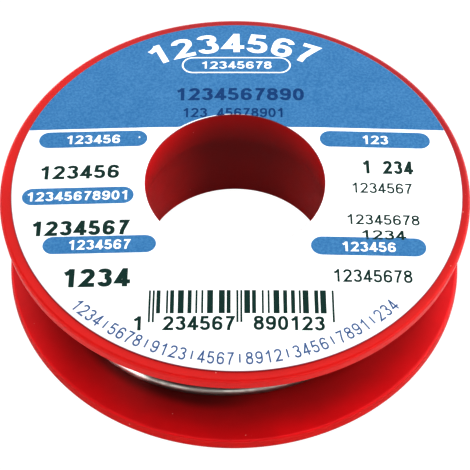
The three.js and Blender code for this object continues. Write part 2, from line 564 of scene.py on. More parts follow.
@dataclass(frozen=True)
class RedPlastic:
    """Moulded polystyrene with faint flow clouds, dust and handling marks.

    Light and shade are painted into the red. It is deep at the hub and has a painted glow towards the
    flanges' edge. It has painted shade beside the wire, on the rim's far side, on the foot and on the bore's
    upper ring, and painted light on the bore's side walls.
    """

    rim: Colour = (0.565, 0.008, 0.006, 1)
    # Painted shade on the rim's far side.
    far_rim_shade: Colour = (0.36, 0.008, 0.014, 1)
    # Painted shade on the lower flange's foot round.
    foot: Colour = (0.27, 0.012, 0.010, 1)
    hub: Colour = (0.57, 0.008, 0.012, 1)
    # The painted glow that the flanges' inner faces take towards their edge; hub is the plain red they start
    # from.
    edge: Colour = (0.80, 0.006, 0.012, 1)
    # Painted light and shade in the bore: dark in the middle, lit on the left and right walls.
    bore: Colour = (0.33, 0.005, 0.006, 1)
    bore_left_lit: Colour = (0.88, 0.016, 0.020, 1)
    bore_right_lit: Colour = (0.62, 0.012, 0.014, 1)
    # Painted shade beside the wire on the lower flange, darkest under the loose turn.
    nook_shade: Colour = (0.47, 0.007, 0.008, 1)
    wire_contact_shadow: Colour = (0.17, 0.005, 0.005, 1)
    # A deeper red for the flow clouds, and the painted shade on the bore's upper ring.
    shade: Colour = (0.30, 0.004, 0.005, 1)
    dust: Colour = (0.85, 0.62, 0.52, 1)
    wire_side: Sector = (-116, 38, 12)
    far_shade_side: Sector = (60, 88, 20)
    lit_left_side: Sector = (180, 78, 18)
    lit_right_side: Sector = (0, 74, 18)
    # The radii over which the painted glow rises.
    painted_edge_glow: Point = (26.3, 31.0)
    # Where the painted shade beside the wire ends, and how far further out it reaches under the loose turn.
    nook_end: float = 24.3
    nook_bulge: float = 1.1
    nook_fade: float = 1.8
    face_blend: Point = (0.25, 0.03)
    # The levels over which the foot's painted shade fades in.
    foot_shade_blend: Point = (0.95, 0.6)
    seam_blend: float = 0.1
    # How much painted shade the bore's upper ring takes.
    upper_ring_shade: float = 0.5
    hub_blend: Point = (1.0, 1.2)
    clouds: Point = (0.35, 0.7)
    cloud_share: float = 0.2
    cloud_size: float = 9.0
    dust_share: float = 0.55
    dust_rough: float = 0.4
    mark_rough: float = 0.16
    roughness: Point = (0.35, 0.42)
    shine: float = 0.2
    skin_size: float = 0.55
    skin_fine: float = 0.35
    skin_depth: float = 0.004

    def face(self, w: Wiring, place: Polar) -> bpy.types.NodeSocket:
        """The red of the flanges' inner faces, with painted shade beside the wire and a painted glow towards
        the edge.

        Args:
            w: The material's wiring.
            place: Where a point lies.

        Returns:
            The colour's output.
        """
        # Painted glow towards the edge, and painted shade beside the wire that reaches further out under the
        # loose turn.
        painted_edge_glow = w.ramp(place.radius, self.painted_edge_glow[0] * MM, self.painted_edge_glow[1] * MM)
        loose = place.towards(self.wire_side)
        nook_shade = w.mix(loose, self.nook_shade, self.wire_contact_shadow)
        end = w.plus(w.times(loose, self.nook_bulge * MM), self.nook_end * MM)
        clear = w.ramp(w.math("SUBTRACT", place.radius, end), 0.0, self.nook_fade * MM)
        return w.mix(clear, nook_shade, w.mix(painted_edge_glow, self.hub, self.edge))

    def inside(self, w: Wiring, place: Polar, sizes: SpoolSizes) -> bpy.types.NodeSocket:
        """The red of the bore, with painted light on its left and right walls and painted shade on its upper
        ring.

        Args:
            w: The material's wiring.
            place: Where a point lies.
            sizes: The spool's sizes.

        Returns:
            The colour's output.
        """
        # Painted light on the bore's side walls, and painted shade on its upper ring.
        bore = w.mix(place.towards(self.lit_left_side), self.bore, self.bore_left_lit)
        bore = w.mix(place.towards(self.lit_right_side), bore, self.bore_right_lit)
        seam = (sizes.upper_bore_radius + sizes.lower_bore_radius) / 2
        low, high = (seam + self.seam_blend) * MM, (seam - self.seam_blend) * MM
        return w.mix(w.ramp(place.radius, low, high, (0.0, self.upper_ring_shade)), bore, self.shade)

    def red(self, w: Wiring, sizes: SpoolSizes) -> bpy.types.NodeSocket:
        """The plastic's red, with light and shade painted into it by place.

        Args:
            w: The material's wiring.
            sizes: The spool's sizes.

        Returns:
            The colour's output.
        """
        place = w.polar()
        gap_top = sizes.upper_inner_face - sizes.rim_bead
        gap_middle = (sizes.lower_inner_face + gap_top) / 2
        half_gap = (gap_top - sizes.lower_inner_face) / 2
        from_middle = w.math("ABSOLUTE", w.math("SUBTRACT", place.level, gap_middle * MM))
        between = w.ramp(from_middle, *((half_gap + blend) * MM for blend in self.face_blend))
        # Painted shade on the rim's far side.
        rim = w.mix(place.towards(self.far_shade_side), self.rim, self.far_rim_shade)
        # Painted shade on the lower flange's foot, darker towards the floor.
        foot_shade_mask = w.ramp(place.level, *(level * MM for level in self.foot_shade_blend))
        flange = w.mix(between, w.mix(foot_shade_mask, rim, self.foot), self.face(w, place))
        in_bore = w.ramp(place.radius, *((sizes.hub_radius - blend) * MM for blend in self.hub_blend))
        return w.mix(in_bore, flange, self.inside(w, place, sizes))

    def build(self, effects: Effects, sizes: SpoolSizes) -> bpy.types.Material:
        """Makes the material.

        Args:
            effects: The shared effects.
            sizes: The spool's sizes.

        Returns:
            The material.
        """
        material, w, shader = new_material("red_polystyrene")
        clouds = effects.use(w, effects.grain, Size=self.cloud_size)
        skin = effects.use(w, effects.grain, Size=self.skin_size)
        dust = effects.use(w, effects.specks, Spacing=1.9, Speck=0.11)
        marks = effects.use(w, effects.scuffs, Length=7.0, Width=0.12)
        cloudy = w.ramp(clouds["Cloud"], *self.clouds, (0.0, self.cloud_share))
        red = w.mix(cloudy, self.red(w, sizes), self.shade)
        worn = w.times(marks["Mask"], self.mark_rough)
        rough = w.plus(w.ramp(skin["Cloud"], *USUAL_NOISE, self.roughness), worn)
        relief = w.plus(skin["Cloud"], w.times(skin["Fine"], self.skin_fine))
        w.feed(
            shader,
            {
                "Base Color": w.mix(w.times(dust["Mask"], self.dust_share), red, self.dust),
                "Roughness": w.plus(rough, w.times(dust["Mask"], self.dust_rough)),
                "Specular IOR Level": self.shine,
                "Normal": w.bump(relief, self.skin_depth),
            },
        )
        return material


@dataclass(frozen=True)
class LabelPaper:
    """White label paper with a faint fibre and a soft sheen."""

    colour: Colour = (0.97, 0.97, 0.975, 1)
    shade: Colour = (0.93, 0.935, 0.94, 1)
    speck: Colour = (0.45, 0.43, 0.40, 1)
    # Painted shade along the paper's cut edges, with a little glue dirt.
    cut: Colour = (0.22, 0.06, 0.09, 1)
    roughness: Point = (0.57, 0.70)
    fibre_size: float = 0.5
    fibre_depth: float = 0.006
    cloud_size: float = 6.0
    clouds: Point = (0.2, 0.4)
    speck_share: float = 0.5
    edge_shade_from: Point = (0.985, 0.96)

    def build(self, effects: Effects) -> bpy.types.Material:
        """Makes the material.

        Args:
            effects: The shared effects.

        Returns:
            The material.
        """
        material, w, shader = new_material("label_paper")
        fibre = effects.use(w, effects.grain, Size=self.fibre_size)
        cloudy = effects.use(w, effects.grain, Size=self.cloud_size)
        specks = effects.use(w, effects.specks, Spacing=2.6, Speck=0.10)
        mottled = w.ramp(w.times(fibre["Cloud"], cloudy["Cloud"]), *self.clouds)
        white = w.mix(mottled, self.shade, self.colour)
        white = w.mix(w.times(specks["Mask"], self.speck_share), white, self.speck)
        upright = w.add("SeparateXYZ", {0: w.add("TexCoord").outputs["Normal"]}).outputs[2]
        w.feed(
            shader,
            {
                # The sloped cut edges take the painted shade colour.
                "Base Color": w.mix(w.ramp(upright, *self.edge_shade_from), white, self.cut),
                "Roughness": w.ramp(fibre["Fine"], *USUAL_NOISE, self.roughness),
                "Normal": w.bump(fibre["Cloud"], self.fibre_depth),
            },
        )
        return material


@dataclass(frozen=True)
class Ink:
    """A printed ink: a flat colour broken by the print's fine mottle and by missed dots."""

    name: str
    colour: Colour
    pale: Colour
    mottle: float
    misses: float
    dot: float = 0.34
    patch: float = 3.5
    patches: Point = (0.3, 0.75)
    patch_share: float = 0.35
    miss_share: float = 0.6
    roughness: Point = (0.49, 0.61)
    shine: float = 0.12
    depth: float = 0.003

    def build(self, effects: Effects) -> bpy.types.Material:
        """Makes the material.

        Args:
            effects: The shared effects.

        Returns:
            The material.
        """
        material, w, shader = new_material("ink_" + self.name)
        raster = effects.use(w, effects.grain, Size=self.dot)
        uneven = effects.use(w, effects.grain, Size=self.patch)
        spread = w.ramp(raster["Cloud"], *USUAL_NOISE)
        patchy = w.times(w.ramp(uneven["Cloud"], *self.patches), self.patch_share)
        light = w.times(w.plus(spread, patchy), self.mottle)
        missed = w.math("GREATER_THAN", raster["Fine"], 1 - self.misses)
        share = w.math("MINIMUM", w.plus(light, w.times(missed, self.miss_share)), 1.0)
        w.feed(
            shader,
            {
                "Base Color": w.mix(share, self.colour, self.pale),
                "Roughness": w.ramp(raster["Fine"], *USUAL_NOISE, self.roughness),
                "Specular IOR Level": self.shine,
                "Normal": w.bump(raster["Cloud"], self.depth),
            },
        )
        return material


@dataclass(frozen=True)
class SolderMetal:
    """Soft drawn solder: silver-grey, with fine lines along the wire, duller patches and a painted highlight
    on the loose turn.
    """

    bright: Colour = (0.45, 0.425, 0.395, 1)
    dull: Colour = (0.20, 0.19, 0.175, 1)
    # A painted highlight on the loose turn at the front left.
    painted_glint: Colour = (0.86, 0.84, 0.81, 1)
    glint_side: Sector = (-126, 11, 5)
    film_size: float = 3.0
    film: Point = (0.3, 0.55)
    film_share: float = 0.6
    film_rough: float = 0.14
    mark_rough: float = 0.12
    roughness: float = 0.28
    line_depth: float = 0.02

    def build(self, effects: Effects) -> bpy.types.Material:
        """Makes the material.

        Args:
            effects: The shared effects.

        Returns:
            The material.
        """
        material, w, shader = new_material("soft_solder")
        lines = effects.use(w, effects.drawn, Width=0.12, Length=9.0)["Lines"]
        film = effects.use(w, effects.grain, Size=self.film_size)
        marks = effects.use(w, effects.scuffs, Length=2.0, Width=0.08)
        patchy = w.ramp(film["Cloud"], *self.film)
        lined = w.times(lines, 1 - self.film_share)
        tarnish = w.plus(w.times(patchy, self.film_share), lined)
        metal = w.mix(tarnish, self.bright, self.dull)
        rough = w.plus(self.roughness, w.times(patchy, self.film_rough))
        w.feed(
            shader,
            {
                # Painted highlight on the loose turn.
                "Base Color": w.mix(w.polar().towards(self.glint_side), metal, self.painted_glint),
                "Roughness": w.plus(rough, w.times(marks["Mask"], self.mark_rough)),
                "Metallic": 1.0,
                "Normal": w.bump(lines, self.line_depth),
            },
        )
        return material


# ---------------------------------------------------------------------------- the mouldings


@dataclass
class Mouldings:
    """The spool's two halves, turned from their outlines with fine rounds."""

    sizes: SpoolSizes
    steps: int = 360
    rim_steps: int = 10
    edge_steps: int = 5
    fillet_steps: int = 8
    drill_steps: int = 48
    drill_below: float = 0.01
    drill_above: float = 1.0

    def flange_face(self, bore_radius: float, flange_radius: float, bead: float = 0.0) -> list[Point]:
        """A flange's outer face from the bore's round edge to the inner face, foot at level 0.

        Args:
            bore_radius: The bore's radius.
            flange_radius: The flange's own radius.
            bead: How far the rim stands proud of the inner face.

        Returns:
            Points of radius and level.
        """
        s = self.sizes
        edge = arc((bore_radius + s.edge_round, s.edge_round), s.edge_round, 180, 270, self.edge_steps)
        outer = (flange_radius - s.rim_outer_round, s.face_fall + s.rim_outer_round)
        inner_radius = flange_radius - s.rim_draft - s.rim_inner_round
        inner = (inner_radius, s.face_fall + s.rim_thickness + bead - s.rim_inner_round)
        lean = math.degrees(math.atan2(s.rim_draft, inner[1] - outer[1]))
        rim = [
            *arc(outer, s.rim_outer_round, -90, lean, self.rim_steps),
            *arc(inner, s.rim_inner_round, lean, 90, self.rim_steps),
        ]
        if bead:
            top = inner[1] + s.rim_inner_round - s.bead_fall
            start, end = (inner_radius - reach for reach in s.bead_reach)
            rim += [(start, top), (end, s.lower_inner_face)]
        bend = bore_radius + s.land_width
        land = [(bend - s.land_blend, 0.0), (bend + s.land_blend, s.land_fall)]
        return [*edge, *land, *rim]

    def slip(self, bm: bmesh.types.BMesh, way: Point) -> None:
        """Sets a flange's rim a little off the barrel's axis, as the moulding is not quite round.

        Args:
            bm: The moulding's mesh.
            way: How far the rim is moved.
        """
        s = self.sizes
        inside = s.upper_bore_radius + s.land_width
        for vert in bm.verts:
            radius = math.hypot(vert.co.x, vert.co.y)
            share = max(0.0, min(1.0, (radius - inside) / (s.flange_radius - s.slip_zone - inside)))
            vert.co.x += way[0] * share
            vert.co.y += way[1] * share

    def upside_down(self, outline: Sequence[Point]) -> list[Point]:
        """The same outline turned over, for the top of the spool."""
        return [(r, self.sizes.height - z) for r, z in reversed(outline)]

    def lower(self) -> bpy.types.Object:
        """The lower flange with the barrel, its socket and the hole for the wire's inner end.

        Returns:
            The moulding.
        """
        s = self.sizes
        socket = s.upper_bore_radius + s.spigot_wall + s.spigot_clearance
        ledge = s.spigot_end - s.ledge_gap
        root = (s.hub_radius + s.root_fillet, s.lower_inner_face + s.root_fillet)
        bm = bmesh.new()
        sweep_ring(
            bm,
            [
                *self.flange_face(s.lower_bore_radius, s.flange_radius - s.lower_radius_loss),
                *arc(root, s.root_fillet, 270, 180, self.fillet_steps),
                (s.hub_radius, s.upper_inner_face),
                (socket + s.spigot_chamfer, s.upper_inner_face),
                (socket, s.upper_inner_face - s.spigot_chamfer),
                (socket, ledge),
                (s.lower_bore_radius + s.edge_chamfer, ledge),
                (s.lower_bore_radius, ledge - s.edge_chamfer),
            ],
            self.steps,
        )
        self.slip(bm, s.lower_slip)
        body = make_object("lower_half_moulding", bm)
        bm = bmesh.new()
        low, high = -self.drill_below, s.lower_inner_face + self.drill_above
        r, rounding = s.anchor_hole_radius, s.anchor_hole_round
        outline = [(ON_AXIS, low), (r + rounding, low), (r, low + rounding), (r, high), (ON_AXIS, high)]
        sweep_ring(bm, outline, self.drill_steps)
        a = math.radians(s.anchor_angle)
        place = Vector((s.anchor_radius * math.cos(a), s.anchor_radius * math.sin(a), 0))
        bmesh.ops.translate(bm, vec=place, verts=bm.verts)
        combine(body, make_object("anchor_drill", bm), "DIFFERENCE")
        return body

    def upper(self) -> bpy.types.Object:
        """The upper flange with its spigot and the crush ribs on it.

        Returns:
            The moulding.
        """
        s = self.sizes
        spigot = s.upper_bore_radius + s.spigot_wall
        outline = [
            (s.upper_bore_radius, s.spigot_end + s.edge_chamfer),
            (s.upper_bore_radius + s.edge_chamfer, s.spigot_end),
            (spigot - s.spigot_chamfer, s.spigot_end),
            (spigot, s.spigot_end + s.spigot_chamfer),
            (spigot, s.spigot_end + 2 * s.spigot_chamfer),
            (spigot, s.upper_inner_face - s.spigot_chamfer),
            (spigot, s.upper_inner_face),
        ]
        ribbed = {4, 5}
        half_rib = math.degrees(s.rib_width / 2 / spigot)
        pitch = 360 / s.rib_count

        def rib(index: int, degrees: float) -> float:
            """The height of the crush ribs at one point of the outline."""
            off = abs((degrees + pitch / 2) % pitch - pitch / 2)
            return s.rib_height if index in ribbed and off < half_rib else 0.0

        bm = bmesh.new()
        flange = self.flange_face(s.upper_bore_radius, s.flange_radius - s.upper_radius_loss, s.rim_bead)
        sweep_ring(bm, [*outline, *self.upside_down(flange)], self.steps, rib)
        self.slip(bm, s.upper_slip)
        return make_object("upper_half_moulding", bm)

    def build(self, plastic: bpy.types.Material) -> None:
        """Makes both halves.

        Args:
            plastic: Their finish.
        """
        finish_piece(self.lower(), plastic, ["lower_half"])
        finish_piece(self.upper(), plastic, ["upper_half"])


# ---------------------------------------------------------------------------- the label


def oval(centre: Point, half_width: float, half_height: float, start: float, end: float) -> list[Point]:
    """Points of a slightly squared oval's arc.

    Args:
        centre: Middle of the oval.
        half_width: Half its width.
        half_height: Half its height.
        start: First angle in degrees.
        end: Last angle in degrees.

    Returns:
        The points, with about the chord's degrees between them.
    """
    squareness, chord = 0.86, 12
    count = max(2, round(abs(end - start) / chord))
    points = []
    for i in range(count + 1):
        a = math.radians(start + (end - start) * i / count)
        x = math.copysign(abs(math.cos(a)) ** squareness, math.cos(a))
        y = math.copysign(abs(math.sin(a)) ** squareness, math.sin(a))
        points.append((centre[0] + half_width * x, centre[1] + half_height * y))
    return points


@dataclass(frozen=True)
class Stroke:
    """One line of a pen: its middle line, and whether it closes on itself."""

    points: tuple[Point, ...]
    closed: bool = False

    def sides(self, pen: float) -> tuple[list[Point], list[Point]]:
        """The two sides of the stroke, with mitred corners.

        Args:
            pen: The pen's width.

        Returns:
            The left and the right side, point by point.
        """
        longest_mitre = 0.4
        spots = [Vector(p) for p in self.points]
        if self.closed:
            spots = spots[:-1]
        count = len(spots)
        left, right = [], []
        for i, spot in enumerate(spots):
            ways = []
            if self.closed or i > 0:
                ways.append((spot - spots[i - 1]).normalized())
            if self.closed or i < count - 1:
                ways.append((spots[(i + 1) % count] - spot).normalized())
            along = (ways[0] + ways[-1]).normalized()
            reach = pen / 2 / max(longest_mitre, along.dot(ways[0]))
            across = Vector((-along.y, along.x)) * reach
            left.append(tuple(spot + across))
            right.append(tuple(spot - across))
        return left, right


class Digits:
    """The ten digits, drawn with a pen of even width and kept as flat shapes 1 high."""

    half_width = 0.30

    def __init__(self) -> None:
        """Starts with nothing drawn."""
        self._drawn: dict[tuple[str, float], tuple[list[Point], list[tuple[int, ...]]]] = {}

    def strokes(self, digit: str, pen: float) -> list[Stroke]:
        """The strokes of one digit.

        Args:
            digit: The digit.
            pen: The pen's width as a share of the digit's height.

        Returns:
            Its strokes.
        """
        side, top, foot = self.half_width - pen / 2, 1 - pen / 2, pen / 2
        if digit == "9":
            return [
                Stroke(tuple((-x, 1 - y) for x, y in stroke.points), stroke.closed)
                for stroke in self.strokes("6", pen)
            ]
        if digit == "0":
            return [Stroke(tuple(oval((0, 0.5), side, top - 0.5, 0, 360)), True)]
        if digit == "1":
            stem = 0.07
            flag = ((-0.21, 0.72), (-0.1, 0.77), (0.0, 0.85), (stem, 0.965))
            return [Stroke(((stem, 0), (stem, 1))), Stroke(flag)]
        if digit == "2":
            bow = oval((0, 0.7), side, top - 0.7, 172, -38)
            return [Stroke((*bow, (-side * 0.93, foot), (self.half_width, foot)))]
        if digit == "3":
            upper = oval((-0.01, 0.745), side * 0.93, top - 0.745, 165, -90)
            lower = oval((0, (0.51 + foot) / 2), side, (0.51 - foot) / 2, 90, -168)
            return [Stroke(tuple(upper)), Stroke(tuple(lower))]
        if digit == "4":
            stem, bar = 0.11, 0.27
            slope = ((stem - 0.01, 0.93), (-side, bar), (self.half_width + 0.03, bar))
            return [Stroke(((stem, 0), (stem, 1))), Stroke(slope)]
        if digit == "5":
            bowl = oval((-0.01, 0.325), side, 0.325 - foot, 128, -165)
            hook = ((side * 0.92, top), (-side * 0.72, top), (-side * 0.95, 0.47))
            return [Stroke(hook), Stroke(tuple(bowl))]
        if digit == "6":
            bowl = oval((0, 0.315), side, 0.315 - foot, 0, 360)
            back = oval((0.02, 0.55), side + 0.02, top - 0.55, 28, 180)
            return [Stroke(tuple(bowl), True), Stroke((*back, (-side, 0.33)))]
        if digit == "7":
            return [Stroke(((-side, top), (side * 0.96, top), (0.06, 0.56), (-0.04, 0.28), (-0.07, 0)))]
        upper = oval((0, 0.755), side * 0.9, top - 0.755, 0, 360)
        lower = oval((0, (0.53 + foot) / 2), side, (0.53 - foot) / 2, 0, 360)
        return [Stroke(tuple(upper), True), Stroke(tuple(lower), True)]

    def shape(self, digit: str, pen: float) -> tuple[list[Point], list[tuple[int, ...]]]:
        """One digit as flat faces, its strokes joined into one.

        Args:
            digit: The digit.
            pen: The pen's width as a share of the digit's height.

        Returns:
            Its points, with the middle of its foot at 0, 0, and its faces.
        """
        key, upright = (digit, pen), 0.9
        if key not in self._drawn:
            slabs = [self.slab(stroke, pen) for stroke in self.strokes(digit, pen)]
            for other in slabs[1:]:
                combine(slabs[0], other, "UNION")
            mesh = slabs[0].data
            tops = [f for f in mesh.polygons if f.normal.z > upright]
            used = sorted({i for f in tops for i in f.vertices})
            place = {old: new for new, old in enumerate(used)}
            points = [(mesh.vertices[i].co.x / MM, mesh.vertices[i].co.y / MM) for i in used]
            self._drawn[key] = (points, [tuple(place[i] for i in f.vertices) for f in tops])
            bpy.data.objects.remove(slabs[0])
            bpy.data.meshes.remove(mesh)
        return self._drawn[key]

    @staticmethod
    def slab(stroke: Stroke, pen: float) -> bpy.types.Object:
        """One stroke as a closed slab 1 thick.

        Args:
            stroke: The stroke.
            pen: The pen's width.

        Returns:
            The slab.
        """
        left, right = stroke.sides(pen)
        bm = bmesh.new()
        sides = [[bm.verts.new((x, y, 0)) for x, y in points] for points in (left, right)]
        count = len(left)
        for i in range(count if stroke.closed else count - 1):
            j = (i + 1) % count
            bm.faces.new((sides[0][i], sides[1][i], sides[1][j], sides[0][j]))
        raised = bmesh.ops.extrude_face_region(bm, geom=list(bm.faces), use_keep_orig=True)["geom"]
        bmesh.ops.translate(bm, vec=(0, 0, 1), verts=[v for v in raised if isinstance(v, bmesh.types.BMVert)])
        return make_object("stroke", bm)


def row_slope(left: float, right: float) -> float:
    """How a row leans, because the label follows the flange's slightly conical face.

    Args:
        left: The row's left end.
        right: Its right end.

    Returns:
        Its rise over its run: rows beside the bore rise towards the middle, those on it lie level.
    """
    lean, level_reach = 0.010, 5.0
    middle = (left + right) / 2
    return 0.0 if abs(middle) < level_reach else -math.copysign(lean, middle)


@dataclass(frozen=True)
class Line:
    """A straight line of digits on the label, in millimetres from the hub's axis."""

    text: str
    left: float
    right: float
    foot: float
    height: float
    pen: float


@dataclass(frozen=True)
class Ring:
    """A row of digits and ticks on a circle round the hub, in degrees and millimetres.

    Its top lies inside its foot where it is read from outside. A tick has two radii and half a width.
    """

    text: str
    first: float
    last: float
    foot: float
    top: float
    wide: float
    pen: float
    tick: tuple[float, float, float] = (27.6, 28.85, 0.1)


@dataclass(frozen=True)
class Band:
    """A bar with round ends on the label, in millimetres from the hub's axis."""

    left: float
    right: float
    foot: float
    top: float

    def outline(self, inset: float = 0.0) -> list[Point]:
        """The bar's outline.

        Args:
            inset: How far the outline is drawn in.

        Returns:
            Its points, counter-clockwise.
        """
        steps = 16
        level = (self.foot + self.top) / 2
        end = (self.top - self.foot) / 2
        rise = row_slope(self.left, self.right) * ((self.right - self.left) / 2 - end)
        right = arc((self.right - end, level + rise), end - inset, -90, 90, steps)
        left = arc((self.left + end, level - rise), end - inset, 90, 270, steps)
        return right + left


TICK = "|"
BANDS = (
    (Band(-26.73, -11.95, 6.12, 8.98), "123456", 0.51),
    (Band(-28.25, -13.43, -3.90, -1.08), "12345678901", 0.93),
    (Band(-24.92, -10.21, -12.08, -9.27), "1234567", 0.56),
    (Band(11.56, 26.60, 6.02, 8.90), "123", 0.25),
    (Band(9.81, 24.74, -12.46, -9.52), "123456", 0.48),
)
"""The blue bars, the white digits on them and the share of the bar that the digits take."""

WHITE_RING = Ring("1234567", 114.5, 67.0, 24.3, 28.1, 1.32, 0.182)
WHITE_FRAME = Band(-7.55, 7.93, 20.05, 23.29)
WHITE_LINE = Line("12345678", -4.9, 5.3, 20.95, 1.45, 0.165)
NAVY_LINES = (
    Line("1234567890", -8.4, 9.76, 14.71, 2.35, 0.19),
    Line("123 45678901", -7.34, 6.9, 11.51, 1.69, 0.165),
)
GREEN_LINES = (
    Line("123456", -26.35, -15.4, 0.50, 2.33, 0.185),
    Line("1234567", -26.75, -13.65, -9.12, 2.42, 0.21),
    Line("1234", -22.15, -13.25, -17.4, 2.85, 0.22),
    Line("1 234", 17.0, 24.0, 1.33, 2.31, 0.21),
    Line("1234567", 15.4, 23.65, -2.06, 1.75, 0.14),
    Line("12345678", 14.5, 24.25, -7.40, 1.66, 0.145),
    Line("1234", 16.25, 22.3, -9.83, 1.5, 0.155),
    Line("12345678", 12.4, 22.7, -16.7, 1.98, 0.15),
    Line("1", -12.9, -11.3, -24.08, 2.1, 0.18),
    Line("234567", -9.1, 0.1, -24.08, 2.1, 0.175),
    Line("890123", 2.2, 11.3, -24.08, 2.1, 0.175),
)
VIOLET_RING = Ring("1234|5678|9123|4567|8912|3456|7891|234", -134.5, -45.5, 29.15, 27.35, 0.83, 0.13)


def plain_bars() -> list[list[Point]]:
    """A block of plain bars, whose widths and gaps follow a sum of waves and stand for nothing.

    Returns:
        The outline of each bar.
    """
    left, right, foot, long_foot, top = -10.87, 12.46, -21.55, -22.88, -18.04
    count, long_zones = 95, ((-1, 3), (42, 48), (91, 95))
    fast_wave, slow_wave, gap_wave, widest, widest_gap = 2.3, 0.9, 1.7, 1.6, 2.2
    module = (right - left) / count
    bars = []
    at = index = 0
    while at < count:
        wave = math.sin(fast_wave * index) + math.sin(slow_wave * index + 1.0)
        wide = min(1 + int(abs(wave) * widest), count - at)
        gap = 1 + int(abs(math.cos(gap_wave * index)) * widest_gap)
        level = foot
        if any(low < at < high for low, high in long_zones):
            wide, gap, level = 1, 1, long_foot
        start, end = left + at * module, left + (at + wide) * module
        bars.append([(start, level), (end, level), (end, top), (start, top)])
        at += wide + gap
        index += 1
    return bars


@dataclass
class InkSheet:
    """All the shapes of one ink, as thin solids that lie on the label."""

    name: str
    lift: float
    thickness: float
    digits: Digits
    bm: bmesh.types.BMesh = field(default_factory=bmesh.new)
    pitch_share: float = 0.84
    grid: float = 1.6
    grid_start: float = 0.37
    reach: float = 32.0

    def shape(self, points: Sequence[Point], faces: Iterable[Sequence[int]]) -> None:
        """Adds flat faces.

        Args:
            points: Their points on the label.
            faces: The faces, as indices into the points.
        """
        verts = [self.bm.verts.new((x, y, 0)) for x, y in points]
        for indices in faces:
            face = self.bm.faces.new([verts[i] for i in indices])
            face.normal_update()
            if face.normal.z < 0:
                face.normal_flip()

    def outline(self, points: Sequence[Point]) -> None:
        """Adds one filled outline."""
        self.shape(points, [range(len(points))])

    def strip(self, outer: Sequence[Point], inner: Sequence[Point]) -> None:
        """Adds the strip between two outlines of as many points.

        Args:
            outer: The outer outline.
            inner: The inner one.
        """
        count = len(outer)
        faces = [(i, (i + 1) % count, count + (i + 1) % count, count + i) for i in range(count)]
        self.shape([*outer, *inner], faces)

    def line(self, row: Line) -> None:
        """Adds a straight line of digits.

        Args:
            row: What it says and where it lies.
        """
        pitch = (row.right - row.left) / len(row.text)
        wide = pitch * self.pitch_share / (2 * self.digits.half_width)
        slope = row_slope(row.left, row.right)
        for i, digit in enumerate(row.text):
            if digit == " ":
                continue
            points, faces = self.digits.shape(digit, row.pen)
            from_middle = pitch * (i + 0.5 - len(row.text) / 2)
            centre = (row.left + row.right) / 2 + from_middle
            foot = row.foot + slope * from_middle
            self.shape([(centre + x * wide, foot + y * row.height) for x, y in points], faces)

    def ring(self, row: Ring) -> None:
        """Adds a row of digits and ticks on a circle round the hub.

        Args:
            row: What it says and where it lies.
        """
        rise = row.top - row.foot
        low, high, half = row.tick
        for i, sign in enumerate(row.text):
            a = math.radians(row.first + (row.last - row.first) * i / (len(row.text) - 1))
            out, side = Vector((math.cos(a), math.sin(a))), Vector((math.sin(a), -math.cos(a)))
            if sign == TICK:
                corners = ((low, half), (high, half), (high, -half), (low, -half))
                self.outline([out * r + side * across for r, across in corners])
            else:
                points, faces = self.digits.shape(sign, row.pen)
                spots = [out * (row.foot + y * rise) + side * (x * rise * row.wide) for x, y in points]
                self.shape(spots, faces)

    def build(self, level: Callable[[float], float]) -> bpy.types.Object:
        """Cuts the shapes on a grid, gives them their thickness and lays them on the label.

        Args:
            level: The paper's level at a radius.

        Returns:
            The sheet as one object.
        """
        bm = self.bm
        for axis in (Vector((1, 0, 0)), Vector((0, 1, 0))):
            for i in range(int(2 * self.reach / self.grid) + 1):
                everything = [*bm.verts, *bm.edges, *bm.faces]
                place = axis * (self.grid * (i + self.grid_start) - self.reach)
                bmesh.ops.bisect_plane(bm, geom=everything, plane_co=place, plane_no=axis, dist=1e-5)
        tops = bmesh.ops.extrude_face_region(bm, geom=list(bm.faces), use_keep_orig=True)["geom"]
        raised = [v for v in tops if isinstance(v, bmesh.types.BMVert)]
        bmesh.ops.translate(bm, vec=(0, 0, self.thickness), verts=raised)
        for v in bm.verts:
            v.co.z += level(math.hypot(v.co.x, v.co.y)) + self.lift
        return make_object(self.name, bm)


